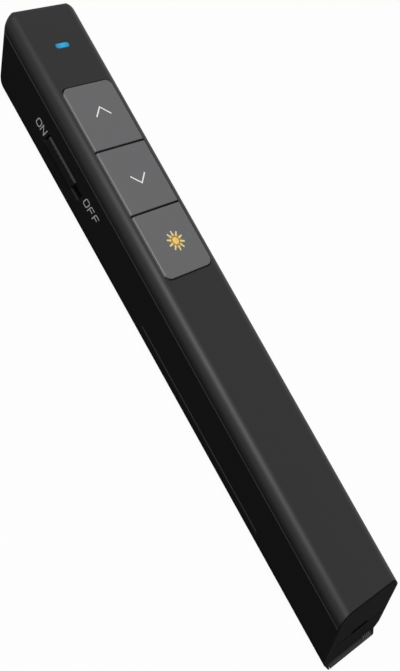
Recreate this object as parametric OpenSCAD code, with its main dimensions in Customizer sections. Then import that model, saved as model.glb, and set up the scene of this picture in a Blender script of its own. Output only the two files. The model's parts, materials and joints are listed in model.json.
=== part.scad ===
// Wireless presentation clicker: a raked stick handset with three keys, a laser
// pointer, a side power switch, a AAA cell behind a hinged door and a USB
// receiver that stows in the tail.
// Axes: X across, Y along the stick towards the nose, Z up through the keys.
// The origin is under the middle of the stick, on the surface it lies on.

/* [Body] */
// Overall length, from the tail's foot to the nose's top edge
body_len = 147.8; // [140:0.1:165]
// Width of the body
body_w = 19.3; // [18.6:0.1:22]
// Height of the body beyond the cell that it holds: two walls and the play
cell_room = 3.5; // [3.2:0.1:5]
// Thickness of the moulded walls
wall = 1.3; // [1.1:0.05:1.5]
// Radius of the two long edges beside the keys
top_r = 3.0; // [2.6:0.1:3.4]
// Radius of the two long edges underneath
bottom_r = 3.1; // [2.6:0.1:4]
// Radius of the upright corners of the nose face
nose_corner_r = 0.9; // [0.4:0.1:2]
// Radius of the upright corners of the tail face
tail_corner_r = 0.3; // [0.2:0.1:1]
// Height of the seam between the cover and the shell
parting_z = 10.8; // [10.4:0.1:11]
// Gap that shows at every seam
seam = 0.12; // [0.08:0.01:0.2]
// Slope of the nose face from upright, in degrees
nose_rake = 34.5; // [20:0.5:38]
// Radius under the nose
nose_foot_r = 3; // [1:0.1:4]
// Slope of the tail face from upright, in degrees
tail_rake = 30; // [20:0.5:35]
// Slope of the pull lip along the foot of the tail, in degrees
lip_rake = 53; // [40:1:58]
// Height of the pull lip
lip_h = 1.5; // [1:0.1:4.5]
// Radius of the nose's top edge
nose_tip_r = 0.5; // [0.3:0.1:0.9]
// Thickness of the shell's rim round the two ends of the cover
end_rim = 0.3; // [0.25:0.05:0.5]
// Radius of the edge of the tail's foot
foot_tip_r = 0.15; // [0.1:0.05:0.8]

/* [Keys] */
// Width of the cover that stays on each side of the keys
key_side = 2.85; // [2.6:0.05:4]
// Distance from one key to the next
key_pitch = 15; // [12:0.1:15.5]
// Gap between two keys
key_gap = 0.4; // [0.3:0.05:0.8]
// Running gap between the keys and the cover
key_clear = 0.15; // [0.1:0.05:0.3]
// Height that the keys stand above the cover
key_rise = 0.35; // [0.1:0.05:0.4]
// Corner radius at the two ends of the key block
key_r = 1.6; // [0.8:0.1:2.5]
// Distance from the nose's top edge to the first key
key_back = 19.25; // [17:0.05:21]
// How far a key goes down
key_travel = 0.45; // [0.2:0.05:0.5]
// Width of the flange that keeps a key under the cover
key_flange = 0.5; // [0.3:0.05:0.6]

/* [Status light] */
// Length of the light window across the body
lens_len = 3.7; // [2.5:0.1:5]
// Width of the light window
lens_w = 1.2; // [0.8:0.1:2]
// Distance from the nose's top edge to the light window
lens_back = 9.6; // [8.5:0.05:11]

/* [Power switch] */
// Length of the slot in the side wall
slot_len = 14.5; // [12:0.1:18]
// Height of the slot in the side wall
slot_h = 2.5; // [2:0.1:3]
// Height of the middle of the slot above the underside
slot_z = 6.6; // [6:0.1:6.8]
// Distance from the nose's top edge to the slot
slot_back = 25.35; // [24:0.05:30]
// How far the knob slides from ON to OFF
switch_travel = 2.5; // [1.5:0.1:3]
// Running gap between the knob and the slot
knob_clear = 0.12; // [0.1:0.01:0.2]
// How far the knob stands out of the side
knob_proud = 0.35; // [0.1:0.05:0.6]

/* [Battery] */
// Diameter of the AAA cell
cell_d = 10.5; // [10:0.1:10.5]
// Length of the AAA cell with its positive nub
cell_len = 44.5; // [44:0.1:45]
// Length of the negative spring when the cell is in
spring_len = 4.2; // [3:0.1:6]
// Wire thickness of the negative spring
spring_wire = 0.6; // [0.4:0.05:0.8]
// Distance from the tail's foot to the door's side seam
door_fwd = 31.4; // [30.5:0.1:38]
// Length of the door's side seam
door_len = 47.35; // [46:0.05:50]
// Height of the door's side seam
door_z = 3.9; // [3.6:0.1:4.2]
// How much further the door reaches at the underside, at each end
door_flare = 2.4; // [1:0.1:3]

/* [Receiver] */
// Width of the receiver's housing
rx_w = 14.5; // [13.5:0.1:14.8]
// Height of the receiver's top above the underside
rx_top = 5.8; // [5.6:0.1:6]
// Length of the USB plug
plug_len = 12; // [10:0.1:13]
// Width of the USB plug
plug_w = 12; // [11.8:0.1:12.2]
// Thickness of the USB plug
plug_t = 4.5; // [4.3:0.1:4.6]
// Running gap round the receiver in its bay
rx_clear = 0.15; // [0.1:0.05:0.25]
// Length of the thumbnail notch above the receiver
notch_len = 5.4; // [4:0.1:8]
// Height of the thumbnail notch
notch_h = 0.8; // [0.5:0.1:1.2]

/* [Laser and board] */
// Diameter of the laser module's barrel
laser_d = 5.6; // [5:0.1:5.8]
// Length of the laser module's barrel
laser_len = 10.5; // [8:0.1:12]
// Diameter of the window in the nose
window_d = 4; // [3:0.1:4.4]
// Thickness of the circuit board
board_t = 1; // [0.8:0.1:1.2]
// Height of the board's upper face above the underside
board_z = 8.6; // [8.5:0.1:8.7]

/* [Hidden] */
$fn = 48;

// Height of the stick, without the raised keys
body_h = cell_d + cell_room;

// Ends of the stick. A rounded raked edge falls short of its sharp corner,
// so the sharp corners lie that much further out.
function edge_loss(r, rake) = r * (tan(rake) + 1 / cos(rake) - 1);
nose_edge = body_len / 2;
foot_edge = -body_len / 2;
nose_y = nose_edge + edge_loss(nose_tip_r, nose_rake);
foot_y = foot_edge - edge_loss(foot_tip_r, lip_rake);
tail_y = foot_y + lip_h * tan(lip_rake) + (body_h - lip_h) * tan(tail_rake);
far = 2 * body_len;

// Y of the nose face and of the tail face at height z, moved inwards by e
function nose_at(z, e = 0) = nose_y - (body_h - z) * tan(nose_rake) - e / cos(nose_rake);
function tail_at(z, e = 0) = tail_y - (body_h - z) * tan(tail_rake) + e / cos(tail_rake);

// Seams
rim_t = 0.6;                     // tongue of the cover inside the shell
rim_h = 1;

// Keys
key_w = body_w - 2 * key_side;
key_end = nose_edge - key_back;
key_start = key_end - 3 * key_pitch;
key_top = body_h + key_rise;
key_skin = 1.3;
flange_t = 0.8;
inner_r = top_r - wall;
flange_x = key_w / 2 + key_flange;
// The flange stays under the cover's inner rounding at its own width
flange_over = max(flange_x + 0.15 - (body_w / 2 - top_r), 0);
flange_top = body_h - top_r + sqrt(max(pow(inner_r, 2) - pow(flange_over, 2), 0.1)) - 0.12;
tact_w = 6;
tact_h = 2;
plunger_d = 3;
plunger_up = 0.8;
tact_bore_floor = 1;

// Power switch
slot_y1 = nose_edge - slot_back;
slot_y0 = slot_y1 - slot_len;
knob_len = slot_len - switch_travel - 2 * 0.5;
knob_y1 = slot_y1 - 0.5;
knob_y0 = knob_y1 - knob_len;
side_x = body_w / 2;
in_x = side_x - wall;
knob_back_t = 0.6;
lever_w = 1.6;
lever_y = knob_y1 - 5;
lever_h = 1;
case_h = board_z - board_t - 5;
case_x1 = in_x - 1.1;
case_w = 3.4;

// Battery
door_y0 = foot_edge + door_fwd;
door_y1 = door_y0 + door_len;
cell_z = wall + 0.2 + cell_d / 2;
cell_r = cell_d / 2 + 0.2;       // the cell's radius with its clearance
rail_w = 2.4;
rail_mid = cell_r + 0.05;
plate_t = 0.3;
bay_y1 = door_y1 - 0.55;
cell_y1 = bay_y1 - plate_t;
nub_len = 0.9;
nub_d = 3.8;
cell_y0 = cell_y1 - cell_len;
bay_y0 = cell_y0 - spring_len - plate_t;
bulkhead_t = 1.2;
bulkhead_top = parting_z - rim_h - 0.2;
hinge_y = door_y0 - door_flare;
hook_w = 3.2;
hook_x = 3.1;
hook_t = 1;
hook_root = 3;
grip_len = 8;
grip_pitch = 1.6;

// Receiver
bay_x = rx_w / 2 + rx_clear;
bay_top = rx_top + rx_clear;
rx_front = tail_at(0) + 6;
plug_front = rx_front + plug_len;
rx_bay_y = plug_front + 2.6;
rx_gap = 0.25;
plug_z = 0.75 + plug_t / 2;
plug_wall = 0.3;
ceiling_t = 1.3;
magnet_d = 5;
magnet_t = 1.5;
magnet_y = plug_front - 1.4;
screw_y = tail_at(bay_top) + 8;
screw_d = 1.7;
screw_head_d = 3.2;
screw_head_t = 1.3;
screw_boss_d = 4.6;
screw_post_z = bay_top + screw_head_t + 1.3;

// Laser, light and board
laser_z = wall + 0.55 + laser_d / 2;
laser_y1 = nose_at(laser_z) - 4.2;
laser_y0 = laser_y1 - laser_len;
lens_y = nose_edge - lens_back;
board_x = in_x - rim_t - 0.3;
board_y1 = nose_at(board_z, wall) - 1.2;
board_y0 = bay_y1 + bulkhead_t + 0.5;
post_d = 4;
post_x = board_x - post_d / 2;
posts = [[post_x, board_y0 + 4.2], [-post_x, lens_y - 6.5]];

// ---------------------------------------------------------------- helpers

// Points of a polygon whose corners are rounded with an arc of the given radius
function unit(v) = v / norm(v);
function corner_arc(a, b, c, r, n = 6) =
  let(u = unit(a - b), v = unit(c - b), half = acos(u * v) / 2,
      centre = b + unit(u + v) * r / sin(half),
      p = b + u * r / tan(half), q = b + v * r / tan(half),
      a0 = atan2(p.y - centre.y, p.x - centre.x), a1 = atan2(q.y - centre.y, q.x - centre.x),
      turn = a1 - a0 > 180 ? a1 - a0 - 360 : a1 - a0 < -180 ? a1 - a0 + 360 : a1 - a0)
  [for (i = [0:n]) centre + r * [cos(a0 + turn * i / n), sin(a0 + turn * i / n)]];
function rounded(points, radii) =
  let(n = len(points))
  [for (i = [0:n - 1]) each radii[i] > 0
    ? corner_arc(points[(i + n - 1) % n], points[i], points[(i + 1) % n], radii[i])
    : [points[i]]];

// A side outline, drawn as [y, z], extruded across the body
module across(width = 2 * body_w) {
  rotate([90, 0, 90]) linear_extrude(height = width, center = true) children();
}

// A box given by its lowest and highest corner
module block(a, b) {
  translate(a) cube(b - a);
}

// A cylinder along Y, and one along Z
module rod_y(r, y0, y1, x = 0, z = 0) {
  translate([x, y1, z]) rotate([90, 0, 0]) cylinder(r = r, h = y1 - y0);
}
module rod_z(r, z0, z1, x = 0, y = 0) {
  translate([x, y, z0]) cylinder(r = r, h = z1 - z0);
}

// A flat rectangle with two or four rounded corners
module soft_rect(w, y0, y1, r_low, r_high) {
  r0 = max(r_low, 0.05);
  r1 = max(r_high, 0.05);
  translate([-w / 2, y0 + r0]) square([w, y1 - y0 - r0 - r1]);
  translate([-w / 2 + r0, y0]) square([w - 2 * r0, r0 + 0.01]);
  translate([-w / 2 + r1, y1 - r1 - 0.01]) square([w - 2 * r1, r1 + 0.01]);
  for (s = [-1, 1]) {
    translate([s * (w / 2 - r0), y0 + r0]) circle(r0);
    translate([s * (w / 2 - r1), y1 - r1]) circle(r1);
  }
}

// Cross-section of the stick, moved inwards by e, drawn as [x, z]
module stick_section(e = 0) {
  half = body_w / 2 - e;
  rt = top_r - e;
  rb = bottom_r - e;
  wide = max(rt, rb);
  translate([-half + wide, e]) square([2 * (half - wide), body_h - 2 * e]);
  translate([-half, e + rb]) square([2 * half, body_h - 2 * e - rb - rt]);
  translate([-half + rt, body_h / 2]) square([2 * (half - rt), body_h / 2 - e]);
  translate([-half + rb, e]) square([2 * (half - rb), body_h / 2]);
  for (s = [-1, 1]) {
    translate([s * (half - rt), body_h - e - rt]) circle(rt);
    translate([s * (half - rb), e + rb]) circle(rb);
  }
}

module stick_bar(e = 0) {
  rotate([90, 0, 0]) linear_extrude(height = far, center = true) stick_section(e);
}

// How far the prism of an end's corners stands off the faces that the outlines cut
plane_gap = 0.02;

// Prism whose end is a raked face with rounded upright corners.
// way is 1 for the nose and -1 for the tail.
module raked_end(top_y, rake, way, corner_r) {
  reach = top_y * cos(rake) - body_h * sin(rake);
  w = body_w + 2 * plane_gap;
  rotate([-rake, 0, 0]) translate([0, reach, -body_len]) linear_extrude(height = far)
    rotate(way > 0 ? 0 : 180) soft_rect(w, -body_len * 1.6, 0, 0, corner_r);
}

// Outline of the stick seen from the side, with its pull lip and its rounded foot
side_outline = rounded(
  [[tail_y, body_h], [tail_at(lip_h), lip_h], [foot_y, 0], [nose_at(0), 0], [nose_y, body_h]],
  [0.7, 0, foot_tip_r, nose_foot_r, nose_tip_r]);

module stick() {
  intersection() {
    stick_bar();
    across() polygon(side_outline);
    raked_end(nose_y, nose_rake, 1, nose_corner_r);
    union() {
      raked_end(tail_y - plane_gap, tail_rake, -1, tail_corner_r);
      block([-body_w, -body_len, -1], [body_w, 0, lip_h]);
    }
  }
}

// The hollow inside, with straight raked ends
module hollow(e = wall) {
  intersection() {
    stick_bar(e);
    between_ends(e);
  }
}

// Everything between the two raked planes moved inwards by e
module between_ends(e) {
  across() polygon([
    [tail_at(0, e), 0], [nose_at(0, e), 0],
    [nose_at(body_h, e), body_h], [tail_at(body_h, e), body_h]]);
}

// What belongs to the cover: all above the seam, up to the thin rims at the two ends
module cover_zone(gap = 0) {
  low = parting_z + gap;
  high = body_h + 1;
  e = end_rim + gap;
  across() polygon([
    [tail_at(low, e), low], [nose_at(low, e), low],
    [nose_at(high, e), high], [tail_at(high, e), high]]);
}

// The door's outline from the side: a straight seam that flares at both ends
module door_zone(grow = 0) {
  across() polygon([
    [door_y0 - door_flare - 0.6 * door_flare / door_z - grow, -0.6],
    [door_y1 + door_flare + 0.6 * door_flare / door_z + grow, -0.6],
    [door_y1 + grow, door_z + grow], [door_y0 - grow, door_z + grow]]);
}

// ---------------------------------------------------------------- housing

// Lower shell: tray with both end walls, the cell cradle, board posts,
// laser saddles, the switch slot and the receiver's bay
module bottom_shell() {
  color("#141416") difference() {
    union() {
      difference() {
        stick();
        hollow();
        // The end walls stand inside the cover as two plugs
        difference() {
          cover_zone();
          stick_bar(wall + seam);
        }
      }
      intersection() {
        stick_bar(wall / 2);
        shell_inside();
      }
      receiver_bay_block();
    }
    door_zone(seam);
    power_slot();
    receiver_bay();
    hook_pockets();
    rod_y(window_d / 2 + 0.06, laser_y1, nose_y, 0, laser_z);
    rod_z(screw_d / 2 + 0.1, 0, body_h, 0, screw_y);
    rod_z(screw_head_d / 2 + 0.2, 0, bay_top + screw_head_t + 0.1, 0, screw_y);
    rod_z(magnet_d / 2 + 0.05, bay_top + 0.4, body_h, 0, magnet_y);
  }
}

// Bulkheads, cradle rails, posts and saddles inside the lower shell
module shell_inside() {
  for (y = [bay_y0 - bulkhead_t, bay_y1])
    block([-in_x - 0.3, y, wall / 2], [in_x + 0.3, y + bulkhead_t, bulkhead_top]);
  // Two rails over the cell's shoulders, open below its middle so that it drops out
  difference() {
    for (s = [-1, 1])
      block([s * rail_mid - rail_w / 2, bay_y0 - 0.3, door_z + seam],
            [s * rail_mid + rail_w / 2, bay_y1 + 0.3, bulkhead_top]);
    rod_y(cell_r, bay_y0, bay_y1, 0, cell_z);
    block([-cell_r, bay_y0, 0], [cell_r, bay_y1, cell_z]);
  }
  for (p = posts) difference() {
    rod_z(post_d / 2, wall / 2, board_z - board_t, p.x, p.y);
    rod_z(screw_d / 2 + 0.05, wall + 0.8, body_h, p.x, p.y);
  }
  difference() {
    for (y = [laser_y0 + 1.2, laser_y1 - 2.4])
      block([-laser_d / 2 - 1, y, wall / 2], [laser_d / 2 + 1, y + 1.2, laser_z]);
    rod_y(laser_d / 2 + 0.03, laser_y0 - 1, laser_y1 + 1, 0, laser_z);
  }
}

// Solid round the receiver's bay, before the bay is cut out of it
module receiver_bay_block() {
  intersection() {
    stick();
    union() {
      block([-in_x - 0.5, foot_y, 0], [in_x + 0.5, rx_bay_y + bulkhead_t, bay_top + ceiling_t]);
      rod_z(screw_boss_d / 2, bay_top, screw_post_z, 0, screw_y);
    }
  }
}

// Bay for the receiver, open underneath and at the tail, with the thumbnail notch
module receiver_bay() {
  block([-bay_x, foot_y - 1, -1], [bay_x, rx_bay_y, bay_top]);
  block([-notch_len / 2, foot_y - 1, bay_top - 0.1],
        [notch_len / 2, tail_at(bay_top) + 1.5, rx_top + notch_h]);
}

// Pockets that the door's hooks swing in
module hook_pockets() {
  for (s = [-1, 1])
    block([s * (hook_x + hook_w / 2) - hook_w / 2 - 0.2, bay_y0 - bulkhead_t - 0.2, wall],
          [s * (hook_x + hook_w / 2) + hook_w / 2 + 0.2, door_y0 + 0.2, wall + hook_t + 1.1]);
}

module power_slot() {
  block([-body_w, slot_y0, slot_z - slot_h / 2], [-in_x + 0.5, slot_y1, slot_z + slot_h / 2]);
}

// Cover: roof and rounded shoulders, with a tongue that enters the shell
module top_cover() {
  color("#2b2b2d") difference() {
    union() {
      difference() {
        intersection() {
          stick();
          cover_zone(seam);
        }
        stick_bar(wall);
      }
      cover_tongue();
      rod_z(screw_boss_d / 2, screw_post_z + 0.1, body_h - wall + 0.1, 0, screw_y);
    }
    translate([0, 0, flange_top - 0.01]) linear_extrude(height = body_h)
      soft_rect(key_w + 2 * key_clear, key_start - key_clear, key_end + key_clear,
                key_r + key_clear, key_r + key_clear);
    translate([0, lens_y, parting_z]) linear_extrude(height = body_h) light_bar(0.04);
    rod_z(screw_d / 2 + 0.05, screw_post_z, body_h - wall - 0.2, 0, screw_y);
  }
}

// Thin tongue along the cover's lower edge, kept clear of the key flanges
module cover_tongue() {
  difference() {
    intersection() {
      hollow(wall + 0.06);
      block([-body_w, -body_len, parting_z - rim_h], [body_w, body_len, parting_z + 0.5]);
    }
    hollow(wall + 0.06 + rim_t);
  }
  for (s = [-1, 1])
    block([s > 0 ? in_x - 0.4 : -in_x - 0.2, tail_at(parting_z, 3), parting_z + seam],
          [s > 0 ? in_x + 0.2 : -in_x + 0.4, nose_at(parting_z, 3), parting_z + 0.5]);
}

// Battery door: wraps both lower edges, hooks at the tail end, grip grooves at the nose end
module battery_door() {
  color("#161618") difference() {
    union() {
      difference() {
        intersection() {
          stick();
          door_zone();
        }
        stick_bar(wall);
      }
      for (s = [-1, 1]) door_hook(s);
      for (i = [0:3]) door_rib(door_y0 + 6 + i * (door_len - 12) / 3);
    }
    for (i = [0:4]) translate([0, door_y1 - 4 - grip_pitch * i, -0.15]) rotate([0, 90, 0])
      cylinder(r = 0.5, h = grip_len, center = true);
  }
}

// One hook that reaches over the shell's floor
module door_hook(s) {
  x = s * (hook_x + hook_w / 2);
  z0 = wall + 0.15;
  y1 = door_y0 + hook_root;
  block([x - hook_w / 2, hinge_y - 1.1, z0], [x + hook_w / 2, y1, z0 + hook_t]);
  block([x - hook_w / 2, door_y0 + 0.6, wall - 0.3], [x + hook_w / 2, y1, z0 + hook_t]);
}

// Cross rib inside the door, hollowed to the cell
module door_rib(y) {
  difference() {
    block([-in_x + 1, y - 0.5, wall - 0.3], [in_x - 1, y + 0.5, door_z - 0.4]);
    rod_y(cell_d / 2 + 0.15, y - 1, y + 1, 0, cell_z);
  }
}

// ---------------------------------------------------------------- keys

function key_y0(i) = key_start + i * key_pitch + (i > 0 ? key_gap / 2 : 0);
function key_y1(i) = key_start + (i + 1) * key_pitch - (i < 2 ? key_gap / 2 : 0);
function key_mid(i) = key_start + (i + 0.5) * key_pitch;

// One key cap: a thin plate with a skirt, a retaining flange and a post for the switch
module key_cap(i) {
  r0 = i == 0 ? key_r : 0.25;
  r1 = i == 2 ? key_r : 0.25;
  z0 = flange_top - flange_t;
  difference() {
    union() {
      translate([0, 0, z0]) linear_extrude(height = key_top - z0)
        soft_rect(key_w, key_y0(i), key_y1(i), r0, r1);
      block([-flange_x, key_y0(i) + key_r, z0], [flange_x, key_y1(i) - key_r, flange_top]);
    }
    translate([0, 0, z0 - 1]) linear_extrude(height = key_top - key_skin - z0 + 1)
      soft_rect(key_w - 2 * key_skin, key_y0(i) + key_skin, key_y1(i) - key_skin, 0.5, 0.5);
  }
  rod_z(plunger_d / 2, board_z + tact_h + plunger_up, key_top - key_skin + 0.1, 0, key_mid(i));
}

module laser_key() { color("#67676a") key_cap(0); }
module page_down_key() { color("#67676a") key_cap(1); }
module page_up_key() { color("#67676a") key_cap(2); }

// Moving button of one tact switch
module plunger(i) {
  rod_z(plunger_d / 2, board_z + tact_bore_floor + key_travel + 0.15,
        board_z + tact_h + plunger_up, 0, key_mid(i));
}
module laser_plunger() { color("#1a1a1a") plunger(0); }
module page_down_plunger() { color("#1a1a1a") plunger(1); }
module page_up_plunger() { color("#1a1a1a") plunger(2); }

// Fixed body of one tact switch, bored for its button, with four legs
module tact_body(i) {
  half = tact_w / 2;
  leg = [0.5, 0.35, 0.3];
  translate([0, key_mid(i), board_z]) difference() {
    union() {
      block([-half, -half, 0], [half, half, tact_h]);
      for (s = [-1, 1], t = [-1, 1]) translate([s * (half + 0.4), t * 2.25, 0])
        block([-leg.x, -leg.y, 0], leg);
    }
    rod_z(plunger_d / 2 + 0.1, tact_bore_floor, tact_h + 1);
  }
}
module laser_switch() { color("#a8a8a6") tact_body(0); }
module page_down_switch() { color("#a8a8a6") tact_body(1); }
module page_up_switch() { color("#a8a8a6") tact_body(2); }

// ---------------------------------------------------------------- power switch

// Sliding knob: a ribbed bar in the slot and a long plate behind the wall
module power_knob() {
  z0 = slot_z - slot_h / 2 + knob_clear;
  z1 = slot_z + slot_h / 2 - knob_clear;
  plate_x = -in_x + 0.1;
  color("#1b1b1d") difference() {
    union() {
      block([-side_x - knob_proud, knob_y0, z0], [plate_x + 0.05, knob_y1, z1]);
      block([plate_x, slot_y0 - 0.7, z0 - 0.5], [plate_x + knob_back_t, knob_y1 + 1.4, z1 + 0.5]);
    }
    for (i = [-3:3]) translate([-side_x - knob_proud, (knob_y0 + knob_y1) / 2 + i * 1.1, z0 - 1])
      cylinder(r = 0.28, h = slot_h + 2);
  }
}

// Lever of the slide switch, carried by the knob
module switch_lever() {
  color("#dcdcd6")
    block([-in_x + 0.1 + knob_back_t, lever_y - lever_w / 2, slot_z - lever_h / 2],
          [-case_x1 + 2, lever_y + lever_w / 2, slot_z + lever_h / 2]);
}

// Metal case of the slide switch under the board, slotted for the lever
module switch_case() {
  z1 = board_z - board_t;
  mid = lever_y - switch_travel / 2;
  run = (lever_w + switch_travel) / 2 + 0.25;
  color("#b9babc") difference() {
    block([-case_x1, mid - 4.5, z1 - case_h], [-case_x1 + case_w, mid + 4.5, z1]);
    block([-case_x1 - 1, mid - run, slot_z - lever_h / 2 - 0.15],
          [-case_x1 + 2.3, mid + run, slot_z + lever_h / 2 + 0.15]);
  }
}

// ---------------------------------------------------------------- light and laser

module light_bar(grow = 0) {
  r = lens_w / 2 + grow;
  square([lens_len - lens_w, 2 * r], center = true);
  for (s = [-1, 1]) translate([s * (lens_len - lens_w) / 2, 0]) circle(r);
}

// Clear pipe that carries the light of the diode to the window in the cover
module light_pipe() {
  color("#35c6f4") translate([0, lens_y, 0]) {
    translate([0, 0, board_z + 1.1]) linear_extrude(height = body_h - board_z - 1.1) light_bar();
    translate([0, 0, body_h - wall - 1]) linear_extrude(height = 1) light_bar(0.7);
  }
}

module status_led() {
  color("#f2efe2") block([-1, lens_y - 0.6, board_z], [1, lens_y + 0.6, board_z + 0.8]);
}

// Brass barrel of the laser module, bored through and stepped for its lens
module laser_barrel() {
  color("#b58a3c") difference() {
    rod_y(laser_d / 2, laser_y0, laser_y1, 0, laser_z);
    rod_y(laser_d / 2 - 0.9, laser_y0 - 1, laser_y1 - 2.5, 0, laser_z);
    rod_y(1.2, laser_y0, laser_y1 + 1, 0, laser_z);
    rod_y(1.7, laser_y1 - 1.4, laser_y1 + 1, 0, laser_z);
  }
}

module laser_lens() {
  color("#cfe6ee") rod_y(1.68, laser_y1 - 1.4, laser_y1 - 0.4, 0, laser_z);
}

// Laser diode can with its flange and three legs
module laser_diode() {
  color("#caa75c") {
    rod_y(1.8, laser_y0 + 0.8, laser_y0 + 2, 0, laser_z);
    rod_y(1.1, laser_y0 + 1.9, laser_y0 + 3.6, 0, laser_z);
    for (a = [90, 210, 330]) rod_y(0.2, laser_y0 - 0.8, laser_y0 + 0.9, cos(a), laser_z + sin(a));
  }
}

module laser_board() {
  color("#2f6a3c") block([-2.6, laser_y0 - 1.6, laser_z - 2.4], [2.6, laser_y0 - 0.8, laser_z + 2.4]);
}

// Clear window that fills the hole in the nose, cut to the slope of the nose
module laser_window() {
  color("#7a1f1f") intersection() {
    rod_y(window_d / 2, laser_y1 + 0.4, nose_y, 0, laser_z);
    across() polygon([
      [laser_y1 + 0.4, 0], [nose_at(0, 0.35), 0], [nose_at(body_h, 0.35), body_h], [laser_y1 + 0.4, body_h]]);
  }
}

// ---------------------------------------------------------------- board

module main_board() {
  color("#1f5c34") difference() {
    block([-board_x, board_y0, board_z - board_t], [board_x, board_y1, board_z]);
    for (p = posts) rod_z(screw_d / 2 + 0.1, 0, body_h, p.x, p.y);
  }
}

module radio_chip() {
  y = key_start + key_pitch;
  color("#18181a") block([-2.5, y - 2.5, board_z], [2.5, y + 2.5, board_z + 0.9]);
}

module crystal() {
  y = key_start + key_pitch;
  x = 1 - board_x;
  color("#c9cacc") block([x, y - 1.6, board_z], [x + 2.2, y + 1.6, board_z + 0.8]);
}

// Small ceramic capacitors in two short rows
module chip_capacitors() {
  color("#b79a6a") for (i = [0:4], s = [-1, 1]) {
    x = s * (board_x - 2);
    y = key_mid(1) + 2.5 * (i - 2);
    block([x - 0.5, y - 0.25, board_z], [x + 0.5, y + 0.25, board_z + 0.5]);
  }
}

// Screw whose head lies on seat, above it for way 1 and below it for way -1
module pan_screw(x, y, seat, way, head_d, head_t, length) {
  top = seat + way * head_t;
  tip = seat - way * length;
  rod_z(head_d / 2, min(seat, top), max(seat, top), x, y);
  rod_z(screw_d / 2, min(seat, tip), max(seat, tip), x, y);
}

module board_screws() {
  color("#8b8d90") for (p = posts) difference() {
    pan_screw(p.x, p.y, board_z, 1, 3, 0.9, 4.5);
    block([p.x - 1, p.y - 0.2, board_z + 0.5], [p.x + 1, p.y + 0.2, board_z + 2]);
    block([p.x - 0.2, p.y - 1, board_z + 0.5], [p.x + 0.2, p.y + 1, board_z + 2]);
  }
}

module case_screw() {
  seat = bay_top + screw_head_t + 0.1;
  color("#8b8d90") difference() {
    pan_screw(0, screw_y, seat, -1, screw_head_d, screw_head_t, body_h - wall - 0.8 - seat);
    block([-1, screw_y - 0.2, seat - screw_head_t - 1], [1, screw_y + 0.2, seat - screw_head_t + 0.5]);
    block([-0.2, screw_y - 1, seat - screw_head_t - 1], [0.2, screw_y + 1, seat - screw_head_t + 0.5]);
  }
}

// ---------------------------------------------------------------- battery

module battery_cell() {
  can_r = cell_d / 2;
  color("#3d4a55") {
    translate([0, cell_y0, cell_z]) rotate([-90, 0, 0]) rotate_extrude()
      polygon(rounded(
        [[0, 0], [can_r, 0], [can_r, cell_len - nub_len], [0, cell_len - nub_len]], [0, 0.5, 0.5, 0]));
    rod_y(nub_d / 2, cell_y1 - nub_len - 0.1, cell_y1, 0, cell_z);
  }
}

// Conical wire spring behind the cell, swept along its own helix
spring_turns = 3.5;
spring_steps = 20;
module battery_spring() {
  n = spring_turns * spring_steps;
  sides = 8;
  run = spring_len - spring_wire;
  function on_coil(i) = let(a = 360 * i / spring_steps, r = 4 - 1.6 * i / n)
    [r * cos(a), cell_y0 - spring_len + spring_wire / 2 + run * i / n, cell_z + r * sin(a)];
  function wire_ring(i) = let(a = 360 * i / spring_steps, c = on_coil(i), r = spring_wire / 2)
    [for (k = [0:sides - 1]) let(b = 360 * k / sides)
      c + r * [cos(b) * cos(a), sin(b), cos(b) * sin(a)]];
  points = [for (i = [0:n]) each wire_ring(i)];
  walls = [for (i = [0:n - 1], k = [0:sides - 1]) let(a = i * sides + k, b = i * sides + (k + 1) % sides)
    [a, b, b + sides, a + sides]];
  color("#c8c9cb") polyhedron(points, concat(
    [[for (k = [sides - 1:-1:0]) k]], walls, [[for (k = [0:sides - 1]) n * sides + k]]), convexity = 6);
}

// Flat sprung plate that the negative spring stands on
module spring_plate() {
  color("#c8c9cb") block([-4.6, bay_y0, cell_z - 4.2 + 0.9], [4.6, bay_y0 + plate_t, bulkhead_top]);
}

// Positive contact with a raised dimple and a tab up to the board
module contact_plate() {
  color("#c8c9cb") {
    block([-3.6, cell_y1, door_z + 0.4], [3.6, bay_y1, bulkhead_top]);
    block([-1.2, cell_y1, bulkhead_top - 0.1], [1.2, bay_y1, bulkhead_top + 0.8]);
  }
}

// ---------------------------------------------------------------- receiver

// Housing of the receiver: its outer end is part of the tail's face and lip
module receiver_housing() {
  color("#1c1c1e") difference() {
    intersection() {
      stick();
      block([-rx_w / 2, foot_y - 1, rx_gap], [rx_w / 2, rx_front, rx_top]);
    }
    block([-5.2, rx_front - 2.7, plug_z - 0.9], [5.2, rx_front + 1, plug_z + 0.9]);
  }
}

// Folded metal shell of the plug with its four square windows
module usb_plug_shell() {
  x = plug_w / 2;
  z = plug_t / 2;
  hole = 2.3;
  color("#b8babd") translate([0, rx_front, plug_z]) difference() {
    block([-x, 0, -z], [x, plug_len, z]);
    block([-x + plug_wall, -1, -z + plug_wall], [x - plug_wall, plug_len + 1, z - plug_wall]);
    for (s = [-1, 1]) block([s * 2.9 - hole / 2, 5.2, -plug_t], [s * 2.9 + hole / 2, 5.2 + hole, plug_t]);
  }
}

// Insulating tongue inside the plug
module usb_tongue() {
  x = plug_w / 2 - plug_wall - 0.1;
  color("#e8e8e4")
    block([-x, rx_front, plug_z + 0.1], [x, plug_front - 0.4, plug_z + plug_t / 2 - plug_wall - 0.02]);
}

// Four flat contacts on the tongue
module usb_contacts() {
  color("#d8b45a") for (i = [-1.5:1:1.5])
    block([i * 2.2 - 0.5, rx_front + 2, plug_z - 0.05], [i * 2.2 + 0.5, plug_front - 1.2, plug_z + 0.1]);
}

// Radio board sealed in the housing
module receiver_board() {
  color("#1f5c34") block([-5, rx_front - 2.6, plug_z - 0.5], [5, rx_front, plug_z + 0.5]);
}

module receiver_magnet() {
  color("#9a9ca0") rod_z(magnet_d / 2, bay_top + 0.4, bay_top + 0.4 + magnet_t, 0, magnet_y);
}

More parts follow.
